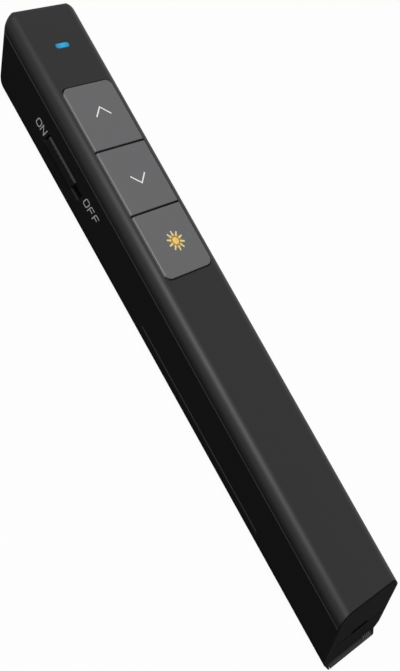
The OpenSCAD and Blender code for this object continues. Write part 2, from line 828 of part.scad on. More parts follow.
// ---------------------------------------------------------------- drawing

bottom_shell();
top_cover();
battery_door();
page_up_key();
page_down_key();
laser_key();
page_up_plunger();
page_down_plunger();
laser_plunger();
page_up_switch();
page_down_switch();
laser_switch();
power_knob();
switch_lever();
switch_case();
light_pipe();
status_led();
main_board();
radio_chip();
crystal();
chip_capacitors();
board_screws();
laser_barrel();
laser_lens();
laser_diode();
laser_board();
laser_window();
battery_cell();
battery_spring();
spring_plate();
contact_plate();
receiver_housing();
usb_plug_shell();
usb_tongue();
usb_contacts();
receiver_board();
receiver_magnet();
case_screw();
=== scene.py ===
# %% [markdown]
# A slim presentation clicker is a moulded plastic stick with three keys on top, a power slide on
# its left side, a battery door underneath and a small radio receiver parked in its tail. Its exact
# solids are already packed; this lesson dresses them. We load them, set up a camera and a soft
# studio, and then go through the object from the outside to the inside.

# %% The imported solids
import bpy, bmesh, json, math
import numpy as np
from mathutils import Matrix, Vector

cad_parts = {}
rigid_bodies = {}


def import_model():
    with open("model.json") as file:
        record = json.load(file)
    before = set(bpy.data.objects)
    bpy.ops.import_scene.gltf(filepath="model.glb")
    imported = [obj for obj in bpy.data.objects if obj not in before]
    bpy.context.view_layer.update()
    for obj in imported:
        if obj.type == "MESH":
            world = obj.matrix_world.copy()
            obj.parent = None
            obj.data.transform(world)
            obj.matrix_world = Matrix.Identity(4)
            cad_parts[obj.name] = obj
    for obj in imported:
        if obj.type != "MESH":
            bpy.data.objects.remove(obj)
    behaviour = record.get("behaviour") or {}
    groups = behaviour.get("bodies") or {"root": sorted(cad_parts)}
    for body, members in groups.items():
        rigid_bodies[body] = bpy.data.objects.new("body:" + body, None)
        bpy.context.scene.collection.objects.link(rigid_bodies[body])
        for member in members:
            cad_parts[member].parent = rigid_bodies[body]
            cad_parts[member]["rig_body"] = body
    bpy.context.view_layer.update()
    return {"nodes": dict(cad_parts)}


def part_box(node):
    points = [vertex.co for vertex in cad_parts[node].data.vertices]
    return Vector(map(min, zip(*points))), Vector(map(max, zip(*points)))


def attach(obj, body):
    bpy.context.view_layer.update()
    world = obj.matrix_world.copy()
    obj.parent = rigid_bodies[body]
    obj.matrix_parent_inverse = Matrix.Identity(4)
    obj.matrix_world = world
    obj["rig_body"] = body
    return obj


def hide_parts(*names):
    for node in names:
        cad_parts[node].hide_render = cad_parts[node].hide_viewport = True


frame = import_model()
nodes = frame["nodes"]
scene = bpy.context.scene
mm = 0.001


def linked(name, data):
    """A new object with this data, put into the scene."""
    made = bpy.data.objects.new(name, data)
    scene.collection.objects.link(made)
    return made


# %% [markdown]
# The stick lies along Y with its nose at the far end, Z goes up through the keys and X crosses it.
# The camera stands close above the tail on the left side. Its turn is written as three directions,
# which are the picture's right, the picture's up and the way back to the camera. Together they are
# the columns of a turning matrix, so no angle has to be guessed.

# %% Camera
camera_data = bpy.data.cameras.new("camera")
camera_data.sensor_width = 36
camera_data.lens = 65.73
camera_data.clip_start = 0.005
camera = linked("camera", camera_data)
camera_at = Vector((-168.21, -25.535, 195.08)) * mm
picture_right = Vector((0.68034056, -0.48643591, 0.54819415))
picture_up = Vector((0.31015021, 0.86879613, 0.38600535))
to_camera = Vector((-0.66403582, -0.09259257, 0.74194545))
turn = Matrix((picture_right, picture_up, to_camera)).transposed().to_4x4()
camera.matrix_world = Matrix.Translation(camera_at) @ turn
scene.camera = camera
print("camera is", round(camera_at.length / mm), "mm from the origin")

# %% [markdown]
# The room and every material are small trees of nodes. One helper adds a node and fills its
# sockets, with a number, a colour or another node's output. Others do sums, make masks with a soft
# limit, or open a node group, which works out colours, masks and heights for several materials.

# %% Node helpers
def fill(made, into):
    """Gives inputs of a node, by name or number, a value or a link from another node's output."""
    for key, value in into.items():
        socket = made.inputs[key]
        if isinstance(value, bpy.types.NodeSocket):
            made.id_data.links.new(value, socket)
        else:
            socket.default_value = (*value, 1) if socket.type == "RGBA" else value


def node(kind, into, tree=None, **settings):
    """Adds a node with its settings and the inputs that `into` names. It goes into the tree that is
    given, or else where the sockets of `into` are."""
    for value in into.values():
        if isinstance(value, bpy.types.NodeSocket):
            tree = value.id_data
    made = tree.nodes.new("ShaderNode" + kind)
    for key, value in settings.items():
        setattr(made, key, value)
    fill(made, into)
    return made


def maths(how, first, *others):
    """Math nodes in a row: `how` joins the first value with the next, then each further one."""
    for other in others or (0.0,):
        first = node("Math", {0: first, 1: other}, operation=how).outputs[0]
    return first


def plus(*values):
    """All the values added together."""
    return maths("ADD", *values)


def minus(first, second):
    """The first value less the second."""
    return maths("SUBTRACT", first, second)


def times(*values):
    """All the values multiplied together."""
    return maths("MULTIPLY", *values)


def blend(mask, first, second):
    """The first colour where the mask is 0 and the second where it is 1. The node's sockets for
    colours are its inputs 6 and 7 and its output 2."""
    into = {0: mask, 6: first, 7: second}
    return node("Mix", into, data_type="RGBA").outputs[2]


def spread(value, low, high, out_low=0.0, out_high=1.0):
    """Maps low..high to out_low..out_high and clamps outside."""
    into = dict(enumerate((value, low, high, out_low, out_high)))
    return node("MapRange", into).outputs[0]


def over(value, limit, soft):
    """1 where the value is over `limit`, with a ramp of plus and minus `soft`, in millimetres."""
    return spread(value, (limit - soft) * mm, (limit + soft) * mm)


def under(value, limit, soft):
    """1 where the value is under `limit`, with the same ramp."""
    return spread(value, (limit + soft) * mm, (limit - soft) * mm)


def here(tree):
    """Object coordinates: the place on the piece, in metres."""
    return node("TexCoord", {}, tree).outputs["Object"]


def axes(at):
    """X, Y and Z of a place."""
    return node("SeparateXYZ", {0: at}).outputs


def noise(at, scale, detail=2.0):
    """Soft noise from 0 to 1 with about `scale` waves in a metre, and finer ones by `detail`."""
    into = {"Vector": at, "Scale": scale, "Detail": detail}
    return node("TexNoise", into).outputs["Fac"]


def scaled(colour, by):
    """A colour times a factor."""
    into = {0: colour, "Scale": by}
    return node("VectorMath", into, operation="SCALE").outputs[0]


def new_group(name, inputs, outputs):
    """An empty node group, the sockets of its inputs and its output node. Each socket is a number,
    unless it is called Colour or Stretch."""
    group = bpy.data.node_groups.new(name, "ShaderNodeTree")
    kinds = {"Colour": "NodeSocketColor", "Stretch": "NodeSocketVector"}
    for side, titles in (("INPUT", inputs), ("OUTPUT", outputs)):
        for title in titles:
            kind = kinds.get(title, "NodeSocketFloat")
            group.interface.new_socket(title, in_out=side, socket_type=kind)
    return group, group.nodes.new("NodeGroupInput").outputs, group.nodes.new("NodeGroupOutput")


def place(made, group, into):
    """Puts a node group into a material with its own values."""
    return node("Group", into, made.node_tree, node_tree=group).outputs


# %% [markdown]
# Black plastic shows the shape of its lights more than its own colour. One large soft box, overhead
# and a little to the left, gives the pale streak along the rounded upper edge and a soft shadow. A
# flat grey card under it would render about as its colour is written. The room is dim for diffuse
# light, and white for what the camera, a mirror or glass looks at.

# %% Soft box and room
box_side, box_far, box_watts, room_level = 0.28, 0.65, 3.4, 0.12

scene.view_settings.view_transform = "Standard"
box_data = bpy.data.lights.new("overhead box", "AREA")
box_data.size = box_side
box_data.energy = box_watts
toward = Vector((-0.26, 0.10, 0.96)).normalized()
facing = toward.to_track_quat("Z", "Y").to_matrix().to_4x4()
linked("overhead box", box_data).matrix_world = Matrix.Translation(toward * box_far) @ facing

world = bpy.data.worlds.new("studio room")
scene.world = world
world.use_nodes = True
room = world.node_tree
room.nodes.clear()
seen = node("LightPath", {}, room).outputs
shown = maths("MAXIMUM", seen["Is Camera Ray"], seen["Is Glossy Ray"],
              seen["Is Transmission Ray"])
dim, white = (node("Background", {"Color": (1, 1, 1), "Strength": level}, room)
              for level in (room_level, 1.0))
both = node("MixShader", {0: shown, 1: dim.outputs[0], 2: white.outputs[0]})
node("OutputWorld", {0: both.outputs[0]})
print("room nodes:", len(room.nodes))

# %% [markdown]
# Moulded plastic is never one flat colour. Its steel tool was spark eroded, which leaves a fine
# grain of about a tenth of a millimetre, and the melt cools a little unevenly, so its tone and
# sheen drift over centimetres. Both come from noise on Object coordinates, so the pattern stays
# fixed to the piece when it moves.

# %% Group: moulded grain
grain, g_in, g_out = new_group("moulded grain", ("Colour", "Grain mm", "Drift", "Roughness"),
                               ("Colour", "Roughness", "Height"))
at = here(grain)
fine = noise(at, maths("DIVIDE", 1000.0, g_in["Grain mm"]))
drift = times(minus(noise(at, 70.0, 3.0), 0.5), g_in["Drift"])
speck = times(minus(fine, 0.5), 0.25, g_in["Drift"])
tone = scaled(g_in["Colour"], plus(1.0, drift, speck))
sheen = plus(g_in["Roughness"], times(drift, 0.6))
fill(g_out, {"Colour": tone, "Roughness": sheen, "Height": fine})
print(grain.name, "has", len(grain.nodes), "nodes")

# %% [markdown]
# Corners that hands and pockets rub go a little paler and shinier. A Bevel node gives the normal
# that the surface would have if its edges were rounded; where that leaves the true normal, we are
# near an edge. A patchy noise keeps the wear from being an even outline.

# %% Group: rubbed edges
rubbed, r_in, r_out = new_group("rubbed edges", ("Width mm", "Amount"), ("Mask",))
width = times(r_in["Width mm"], mm)
round_normal = node("Bevel", {"Radius": width}, samples=4).outputs[0]
true_normal = node("NewGeometry", {}, rubbed).outputs["Normal"]
dot = node("VectorMath", {0: round_normal, 1: true_normal}, operation="DOT_PRODUCT")
near = spread(dot.outputs["Value"], 0.995, 0.80)
patch = spread(noise(here(rubbed), 260.0, 4.0), 0.38, 0.62)
fill(r_out, {"Mask": times(near, patch, r_in["Amount"])})
print(rubbed.name, "has", len(rubbed.nodes), "nodes")

# %% [markdown]
# Sheet metal parts are rolled, and turned parts show the path of the tool. Both are noise that is
# stretched a lot along one direction. The group takes the stretch as a vector, so one group serves
# switch covers, contacts, the spring and the plug.

# %% Group: rolled metal
rolled, m_in, m_out = new_group("rolled metal", ("Colour", "Stretch", "Roughness"),
                                ("Colour", "Roughness", "Height"))
at = here(rolled)
pulled = node("VectorMath", {0: at, 1: m_in["Stretch"]}, operation="MULTIPLY")
lines = noise(pulled.outputs[0], 900.0, 3.0)
smudge = minus(noise(at, 420.0, 3.0), 0.5)
tone = scaled(m_in["Colour"], plus(0.86, times(lines, 0.28)))
sheen = plus(m_in["Roughness"], times(smudge, 0.3))
fill(m_out, {"Colour": tone, "Roughness": sheen, "Height": lines})
print(rolled.name, "has", len(rolled.nodes), "nodes")

# %% [markdown]
# A material is one Principled shader. Numbers that are the same all over are set on its sockets,
# and what changes over the surface comes through links. The refractive index also sets how much a
# face shines when it is seen nearly edge on. A spark eroded black face breaks that shine up, so the
# dull blacks get an index close to 1, and the polished or handled ones a higher one.
#
# Some places get a second mask from a function of where they are, and it paints light into their
# tone: the cover's flat top is painted paler than its rounded edge, the tail's slanted face
# lighter, and the long edges of the keys, the door's upper rim, the slot's lower ledge and the
# knob's upper edge get painted highlights. The cover's index changes with height, a painted sheen,
# and the top of the receiver case gets painted shade.

# %% Plastics and metals
# Heights and places, in millimetres, where the painted light, shade and sheen change.
cover_rim_z, cover_turn_z, cover_flat_z, cover_top_z = 11.2, 12.7, 13.7, 14.25
tail_lean, tail_face_y = math.tan(math.radians(30)), -73.01
slot_y, slot_half, ledge_x, ledge_z0, ledge_z1 = 41.3, 7.3, -9.3, 5.21, 5.425
plate_front_x = -9.15
key_face_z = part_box("laser_key")[1].z / mm
key_edge_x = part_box("laser_key")[1].x / mm - 0.5
brow_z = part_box("power_knob")[1].z / mm - 0.5
door_rim_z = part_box("battery_door")[1].z / mm
roof_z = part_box("receiver_housing")[1].z / mm


def finish(name, **constant):
    """A material with one Principled shader and its constant values, and Object coordinates."""
    made = bpy.data.materials.new(name)
    made.use_nodes = True
    shader = made.node_tree.nodes["Principled BSDF"]
    fill(shader, {key.replace("_", " "): value for key, value in constant.items()})
    return made, here(made.node_tree)


def surface(made, colour, roughness, height=None, micron=0, **more):
    """Feeds a material's shader and returns the material. The height counts as so many thousandths
    of a millimetre of bump."""
    if height:
        bump = {"Height": height, "Distance": micron * 1e-6, "Strength": 1.0}
        more["Normal"] = node("Bump", bump).outputs[0]
    shader = made.node_tree.nodes["Principled BSDF"]
    fill(shader, {"Base Color": colour, "Roughness": roughness, **more})
    return made


def moulded(made, colour, grain_mm, drift, roughness):
    """The group of moulded grain with its values."""
    into = {"Colour": colour, "Grain mm": grain_mm, "Drift": drift, "Roughness": roughness}
    return place(made, grain, into)


def drawn(made, colour, roughness, stretch=(1, 1, 1)):
    """The group of rolled metal with its values."""
    return place(made, rolled, {"Colour": colour, "Stretch": stretch, "Roughness": roughness})


def plastic(name, tones, grain_mm, drift, roughness, ior, wear, micron, band=None, index=None):
    """Moulded plastic: grain and drift all over, and a paler, smoother tone where edges are rubbed.
    Tones are its own red and blue and its paler red and blue, which serve both the rubbed edges and
    the painted light; green is as red. `band` adds a second mask from the place in the object,
    which paints light into that paler tone, and `index` gives the refractive index so."""
    made, at = finish(name, IOR=ior)
    colour, worn_and_lit = ((red, red, blue) for red, blue in (tones[:2], tones[2:]))
    body = moulded(made, colour, grain_mm, drift, roughness)
    mask = place(made, rubbed, {"Width mm": 0.25, "Amount": wear})["Mask"]
    xyz = axes(at)
    if band:
        mask = maths("MAXIMUM", mask, band(xyz))
    return surface(made, blend(mask, body["Colour"], worn_and_lit),
                   minus(body["Roughness"], times(mask, 0.12)), body["Height"], micron,
                   **({"IOR": index(xyz)} if index else {}))


def cover_painted_light(xyz):
    """Painted light: 1 on the flat top, fading to 0 down the rounded edge, so the top is painted
    paler than the shaded edge.
    """
    return spread(xyz["Z"], (cover_rim_z + 0.1) * mm, cover_flat_z * mm)


def cover_painted_sheen(xyz):
    """The cover's refractive index by height, a painted sheen: 1.13 just above its lower rim, a
    painted dark strip, rising to 1.36 up the rounded edge, 1.34 on the flat top, and 1.47 on the
    lower rim, a painted highlight line."""
    edge = spread(xyz["Z"], cover_rim_z * mm, cover_turn_z * mm, 1.13, 1.36)
    rim = spread(xyz["Z"], cover_rim_z * mm, (cover_rim_z - 0.1) * mm, 0, 0.34)
    flat = spread(xyz["Z"], cover_flat_z * mm, cover_top_z * mm, 0, 0.04)
    return minus(plus(edge, rim), flat)


def shell_painted_light(xyz):
    """Painted light in the paler tone: 0.38 on the slanted tail face, where y - tan(30 degrees) z
    is under its place, which paints that face lighter, and 0.8 on the outer edge of the slot's
    lower ledge, a painted highlight where the lamp reaches it."""
    slant = minus(xyz["Y"], times(xyz["Z"], tail_lean))
    far = maths("ABSOLUTE", minus(xyz["Y"], slot_y * mm))
    ledge = times(under(far, slot_half, 0.05), over(xyz["Z"], ledge_z0, 0.03),
                  under(xyz["Z"], ledge_z1, 0.025), under(xyz["X"], ledge_x, 0.05), 0.8)
    tail = times(under(slant, tail_face_y, 0.03), 0.38)
    return maths("MAXIMUM", tail, ledge)


def door_painted_highlight(xyz):
    """1 on the upper rim of the door's two sides, a painted highlight where the rim faces the lamp.
    """
    return over(xyz["Z"], door_rim_z - 0.23, 0.03)


def key_painted_highlight(xyz):
    """A painted highlight: 0.9 on the rounded long edges of the keys, just under the faces, and
    close to the outline.
    """
    low = under(xyz["Z"], key_face_z - 0.055, 0.025)
    edge = over(maths("ABSOLUTE", xyz["X"]), key_edge_x - 0.25, 0.05)
    return times(low, edge, 0.9)


def knob_painted_light(xyz):
    """0.9 on the knob's upper edge, a painted highlight, and on the plate behind it, painted
    lighter against the shade in the slot.
    """
    brow = over(xyz["Z"], brow_z - 0.27, 0.03)
    plate = over(xyz["X"], plate_front_x, 0.05)
    return times(maths("MAXIMUM", brow, plate), 0.9)


def receiver_black(name, lip_y, lip_z):
    """A dull black, a paler tone on the pull lip, where y and z are both under their limits, and
    painted shade, nearly black, on the case's upper face, which lies in the dark of the thumbnail
    notch."""
    made, at = finish(name, IOR=1.012)
    xyz = axes(at)
    lip = times(under(xyz["Y"], lip_y, 0.025), under(xyz["Z"], lip_z, 0.05))
    notch_painted_shade = over(xyz["Z"], roof_z - 0.075, 0.025)
    dull = moulded(made, (0.0205, 0.0205, 0.0213), 0.16, 0.25, 0.55)
    pale_lip = moulded(made, (0.052, 0.052, 0.053), 0.40, 0.5, 0.38)
    face = blend(lip, dull["Colour"], pale_lip["Colour"])
    # Painted shade: the case's upper face goes nearly black under the thumbnail notch.
    return surface(made, blend(notch_painted_shade, face, (0.001, 0.001, 0.001)),
                   blend(lip, dull["Roughness"], pale_lip["Roughness"]), dull["Height"], 5)


def metal(name, colour, stretch, roughness, micron):
    """Rolled or drawn metal with lines along the direction that is stretched least."""
    made, _ = finish(name, Metallic=1.0)
    body = drawn(made, colour, roughness, stretch)
    return surface(made, body["Colour"], body["Roughness"], body["Height"], micron)


# Each plastic: tones, grain in millimetres, drift, roughness, refractive index, how much its edges
# are rubbed, bump in thousandths of a millimetre, and for some a function by place that paints
# light into the paler tone, and one that paints a sheen through the index.
cover_black = plastic("satin black cover", (0.0035, 0.0037, 0.0080, 0.0084), 0.14, 0.12, 0.59, 1.32,
                      0.25, 4, cover_painted_light, cover_painted_sheen)
shell_black = plastic("matt black shell", (0.0118, 0.0124, 0.035, 0.037), 0.16, 0.15, 0.50, 1.012,
                      0.35, 5, shell_painted_light)
# The door's edges are rubbed strongly, and with its rim mask this paints a pale highlight on its
# upper rim as well as wear.
door_black = plastic("matt black door", (0.0118, 0.0124, 0.055, 0.057), 0.16, 0.15, 0.50, 1.012,
                     0.80, 5, door_painted_highlight)
receiver_dull = receiver_black("dull receiver case", -72.725, 0.55)
key_grey = plastic("smooth grey keys", (0.120, 0.124, 0.34, 0.345), 0.10, 0.08, 0.40, 1.38, 0.30,
                   2, key_painted_highlight)
knob_black = plastic("ribbed black knob", (0.012, 0.013, 0.055, 0.057), 0.12, 0.15, 0.48, 1.05,
                     0.30, 3, knob_painted_light)
# The grip ribs are painted a pale grey for the glint at the lip's end, a painted highlight, and
# their edges are rubbed as well.
rib_grey = plastic("rubbed grip ribs with painted glint", (0.060, 0.062, 0.20, 0.205), 0.12, 0.20, 0.32, 1.50, 0.80, 2)
pure_white = plastic("white nylon", (0.72, 0.69, 0.85, 0.83), 0.20, 0.10, 0.45, 1.50, 0.20, 3)
chip_black = plastic("epoxy chip", (0.018, 0.020, 0.05, 0.05), 0.08, 0.25, 0.55, 1.45, 0.20, 5)

# Each metal: colour, stretch of its lines, roughness, and bump in thousandths of a millimetre.
steel = metal("rolled steel", (0.62, 0.62, 0.63), (1.0, 0.08, 1.0), 0.30, 2)
spring_steel = metal("drawn spring wire", (0.66, 0.66, 0.67), (0.3, 1.0, 0.3), 0.22, 1)
dull_steel = metal("zinc plated screws", (0.45, 0.46, 0.48), (1.0, 1.0, 0.1), 0.36, 2)
black_steel = metal("blackened screws", (0.050, 0.050, 0.055), (1.0, 1.0, 0.1), 0.42, 2)
nickel = metal("nickel plug shell", (0.70, 0.69, 0.66), (1.0, 0.05, 1.0), 0.20, 1)
brass = metal("turned brass", (0.78, 0.55, 0.24), (0.02, 1.0, 0.02), 0.28, 3)
gold = metal("gold flash", (0.95, 0.72, 0.30), (1.0, 0.1, 1.0), 0.22, 1)
print("plain finishes:", [m.name for m in bpy.data.materials])

# %% [markdown]
# Some finishes need more than a tone. A circuit board is green lacquer over copper tracks, which
# show as slightly raised, paler lines. Here they follow the borders of a Voronoi pattern, and bare
# gold shows in round pads. A dry cell has a printed sleeve between two bright steel ends.

# %% Board, cell, lamp and clear materials
def board_green(name):
    """Green solder lacquer: tracks run between scattered points, and round pads repeat on a nearly
    even 2.5 mm grid."""
    made, at = finish(name)
    tracks = node("TexVoronoi", {"Vector": at, "Scale": 420.0}, feature="DISTANCE_TO_EDGE")
    copper = spread(tracks.outputs["Distance"], 0.10, 0.06)
    pads = node("TexVoronoi", {"Vector": at, "Scale": 400.0, "Randomness": 0.25})
    pad = spread(pads.outputs["Distance"], 0.16, 0.13)
    lacquer = blend(copper, (0.008, 0.085, 0.030), (0.020, 0.16, 0.055))
    return surface(made, blend(pad, lacquer, (0.80, 0.58, 0.22)), spread(pad, 0, 1, 0.28, 0.35),
                   maths("MAXIMUM", copper, pad), 30, Metallic=pad)


def cell_print(name, low, high):
    """Sleeve colours along Y from low to high: steel end, dark body, an orange line, a light band,
    steel shoulder."""
    made, at = finish(name)
    along = spread(axes(at)["Y"], low, high)
    sleeve = times(maths("GREATER_THAN", along, 0.022), maths("LESS_THAN", along, 0.955))
    off_line = maths("ABSOLUTE", minus(along, 0.69))
    body = moulded(made, (0.012, 0.022, 0.040), 0.3, 0.2, 0.30)
    bare = drawn(made, (0.62, 0.62, 0.60), 0.28)
    ink = blend(maths("GREATER_THAN", along, 0.70), body["Colour"], (0.42, 0.44, 0.46))
    ink = blend(maths("LESS_THAN", off_line, 0.006), ink, (0.75, 0.42, 0.08))
    return surface(made, blend(sleeve, bare["Colour"], ink),
                   blend(sleeve, bare["Roughness"], body["Roughness"]), body["Height"], 2,
                   Metallic=minus(1.0, sleeve))


def distance(at, y, squash=1):
    """How far a place is from (0, y) in the XY plane, where X counts `squash` times."""
    into = {"Vector": at, "Location": (0, -y, 0), "Scale": (squash, 1, 0)}
    flat = node("Mapping", into).outputs[0]
    return node("VectorMath", {0: flat}, operation="LENGTH").outputs["Value"]


def lamp_blue(name, middle_y):
    """Diffusing light window: brightest over the diode at its middle, deeper blue at its rim."""
    made, at = finish(name, IOR=1.30, Emission_Strength=0.38)
    moved = node("Mapping", {"Vector": at, "Location": (0, -middle_y, 0)}).outputs[0]
    cloud = noise(moved, 900.0)
    edge = spread(plus(distance(at, middle_y, 0.55), times(cloud, 0.0002)), 0.0002, 0.0012)
    glow = blend(edge, (0.035, 0.50, 0.90), (0.010, 0.27, 0.62))
    return surface(made, blend(edge, (0.03, 0.22, 0.35), (0.01, 0.10, 0.20)),
                   spread(cloud, 0.3, 0.7, 0.22, 0.34), **{"Emission Color": glow})


def darker(colour, by):
    """A colour with a share taken off."""
    return tuple(c * (1 - by) for c in colour)


def clear(name, colour, roughness, index, haze):
    """Clear plastic or glass: light passes through it, and a little noise waves its surface."""
    made, at = finish(name, Transmission_Weight=1.0, IOR=index)
    wave = noise(at, 500.0)
    return surface(made, blend(wave, darker(colour, haze), colour),
                   spread(wave, 0.3, 0.7, roughness, roughness + 0.05), wave, 2)


def printed_ink(name, colour, thin):
    """Pad-printed ink: the colour thins in tiny specks where the film did not cover the grain."""
    made, at = finish(name, Specular_IOR_Level=0.3)
    speck = noise(at, 6000.0)
    covered = spread(speck, 0.30, 0.42)
    return surface(made, blend(covered, darker(colour, thin), colour),
                   spread(speck, 0.3, 0.7, 0.42, 0.55), speck, 2)


def capacitor_body(name, middle_x, half_body=0.28):
    """Tan ceramic with tinned ends, which are over `half_body` millimetres from the middle of a
    capacitor. The middles lie at plus and minus middle_x."""
    made, at = finish(name)
    off = minus(maths("ABSOLUTE", axes(at)["X"]), middle_x)
    tinned = maths("GREATER_THAN", maths("ABSOLUTE", off), half_body * mm)
    body = moulded(made, (0.42, 0.27, 0.13), 0.05, 0.3, 0.5)
    tin = drawn(made, (0.68, 0.68, 0.68), 0.3)
    return surface(made, blend(tinned, body["Colour"], tin["Colour"]),
                   blend(tinned, body["Roughness"], tin["Roughness"]), body["Height"], 3,
                   Metallic=tinned)


def diode_face(name, middle_y, spot_r=0.45):
    """White ceramic with a round phosphor spot over the chip in its middle."""
    made, at = finish(name)
    body = moulded(made, (0.80, 0.79, 0.74), 0.06, 0.15, 0.45)
    spot = under(distance(at, middle_y), spot_r, 0.03)
    return surface(made, blend(spot, body["Colour"], (0.75, 0.62, 0.12)), body["Roughness"],
                   body["Height"], 2)


cell_low, cell_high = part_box("battery_cell")
lamp_low, lamp_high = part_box("status_led")
caps_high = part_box("chip_capacitors")[1]
lamp_y = (lamp_low.y + lamp_high.y) / 2
board_lacquer = board_green("green lacquered board")
sleeve_print = cell_print("printed cell sleeve", cell_low.y, cell_high.y)
lamp_glow = lamp_blue("glowing light window", lamp_y)
lens_clear = clear("moulded lens", (0.92, 0.97, 1.0), 0.03, 1.49, 0.05)
window_red = clear("tinted nose window", (0.55, 0.05, 0.05), 0.06, 1.49, 0.30)
white_ink = printed_ink("white key ink", (0.92, 0.92, 0.92), 0.12)
grey_ink = printed_ink("grey side ink", (0.42, 0.42, 0.42), 0.30)
amber_ink = printed_ink("amber key ink", (0.92, 0.62, 0.20), 0.10)
cream_ink = printed_ink("cream key ink", (0.84, 0.72, 0.36), 0.10)
gold_ink = printed_ink("dark gold key ink", (0.36, 0.22, 0.05), 0.30)
capacitor_tan = capacitor_body("tinned capacitors", caps_high.x - 0.5 * mm)
diode_white = diode_face("diode face", lamp_y)
print("materials so far:", len(bpy.data.materials))

# %% [markdown]
# Now the shapes. Most new pieces are a ring of points carried along: a key's outline carried
# upwards, a wire's circle along a coil, a pen's small rectangle along a letter. One helper joins
# such rings with quads, closes both ends, and turns all faces outwards by the sign of the volume.

# %% Mesh helpers
def corners_of(node_name):
    """Lowest and highest corner of a solid, in millimetres."""
    low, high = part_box(node_name)
    return np.array(low) / mm, np.array(high) / mm


def loft_faces(rows, cols, closed=False):
    """Quads between neighbouring rings of `cols` points, and a flat face on each open end."""
    r, c = np.meshgrid(np.arange(rows if closed else rows - 1), np.arange(cols), indexing="ij")
    a, b = r * cols + c, r * cols + (c + 1) % cols
    up = (r + 1) % rows * cols
    quads = np.stack([a, b, up + (c + 1) % cols, up + c], -1).reshape(-1, 4).tolist()
    if closed:
        return quads
    return quads + [list(range(cols))[::-1], list(range((rows - 1) * cols, rows * cols))]


def volume_of(points, faces):
    """Signed volume: a sixth of the sum of a . (b x c) over the triangles of every face."""
    corners = np.array([(f[0], f[i], f[i + 1]) for f in faces for i in range(1, len(f) - 1)])
    a, b, c = points[corners[:, 0]], points[corners[:, 1]], points[corners[:, 2]]
    return float((a * np.cross(b, c)).sum() / 6)


def dress(mesh, material):
    """Gives every face of a mesh this one material."""
    mesh.materials.clear()
    mesh.materials.append(material)
    mesh.polygons.foreach_set("material_index", np.zeros(len(mesh.polygons), np.int32))


def smooth(mesh, sharp):
    """Smooth shading, with a crease at every edge over `sharp` degrees."""
    mesh.shade_smooth()
    mesh.set_sharp_from_angle(angle=math.radians(sharp))


def piece(name, solids, body, material, stands_for=(), sharp=35.0):
    """One object from several closed solids, with sizes in millimetres. A solid is its rings, or
    (rings, True) when the last ring joins the first."""
    points, faces = [], []
    for solid in solids:
        rings, closed = solid if isinstance(solid, tuple) else (solid, False)
        own = loft_faces(*rings.shape[:2], closed)
        flat = rings.reshape(-1, 3)
        if volume_of(flat, own) < 0:
            own = [f[::-1] for f in own]
        start = sum(map(len, points))
        faces += [[i + start for i in f] for f in own]
        points.append(flat)
    mesh = bpy.data.meshes.new(name)
    mesh.from_pydata((np.concatenate(points) * mm).tolist(), [], faces)
    dress(mesh, material)
    smooth(mesh, sharp)
    made = linked(name, mesh)
    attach(made, body)
    if stands_for:
        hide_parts(*stands_for)
    print(f"{name}: {len(mesh.vertices)} points, {len(mesh.polygons)} faces")


def cut_ring(work, at, across):
    """Cuts all faces where they meet the plane through `at` that is square to `across`."""
    bmesh.ops.bisect_plane(work, geom=work.verts[:] + work.edges[:] + work.faces[:], dist=1e-7,
                           plane_co=at, plane_no=across)


def places_of(vertices):
    """All x, all y and all z of the vertices, in millimetres."""
    return np.array([v.co for v in vertices]).T / mm


def move_to(vertices, x, y, z):
    """Puts the vertices at new places, in millimetres."""
    for vertex, moved in zip(vertices, np.column_stack([x, y, z]) * mm):
        vertex.co = moved


# %% [markdown]
# The housing is four mouldings: the shell, the cover, the battery door and the receiver's case.
# Their exact solids are right in size, but the real nose is rounded where its slanted face meets
# the sides. The shell and the cover meet there, so both get the same rounding: rings are cut into
# the last millimetres of the nose, and every point is then drawn in by a rule that depends only on
# its place. So the two pieces stay flush.

# %% Rounded nose
nose_lean, nose_rim, rim_steps = math.tan(math.radians(34.5)), 1.6, 6
half_wide, half_high, power, core = 9.65, 7.0, 6, 0.6


def round_the_nose(work):
    """Cuts rings into the last `nose_rim` millimetres and draws them in. With u from 0 to 1 over
    that length, a point moves inwards by rim (1 - sqrt(1 - u^2)), and by half of that in height. It
    counts in full at the section's outline and not at all within its core, measured by the sixth
    root of the sum of (x / half width)^6 and (z / half height)^6."""
    across = Vector((0, 1, -nose_lean)).normalized()
    _, y, z = places_of(nodes["bottom_shell"].data.vertices)
    nose_top = (y - nose_lean * (z - 2 * half_high)).max()
    for u in np.sin(np.linspace(0, np.pi / 2, rim_steps + 1)[:-1]):
        ring_y = nose_top - nose_rim * (1 - u) - 0.001
        cut_ring(work, Vector((0, ring_y * mm, 2 * half_high * mm)), across)
    x, y, z = places_of(work.verts)
    u = np.clip((y - nose_lean * (z - 2 * half_high) - nose_top) / nose_rim + 1, 0, 1)
    rise = z - half_high
    size = ((x / half_wide) ** power + (rise / half_high) ** power) ** (1 / power)
    draw = nose_rim * (1 - np.sqrt(1 - u ** 2)) * np.clip((size - core) / (1 - core), 0, 1)
    move_to(work.verts, x - np.sign(x) * draw, y, z - np.sign(rise) * draw / 2)


# %% [markdown]
# Along the foot of the tail runs a thin lip that a fingernail pulls the receiver out by. The solids
# make it as one straight slope; on the object it is a little blade with rounded ends. The same kind
# of rule does it: a ring is cut where the blade meets the tail's face, and what stands out of the
# face is brought back to a flatter slope. The shell and the receiver share it.

# %% Thin pull lip
tail_foot, lip_h, lip_y, lip_z = -73.074, 0.60, -73.840, 0.27
lip_slope = (tail_foot + tail_lean * lip_h - lip_y) / (lip_h - lip_z)
lip_straight, lip_round, solid_lip_h = 6.8, 1.7, 1.6


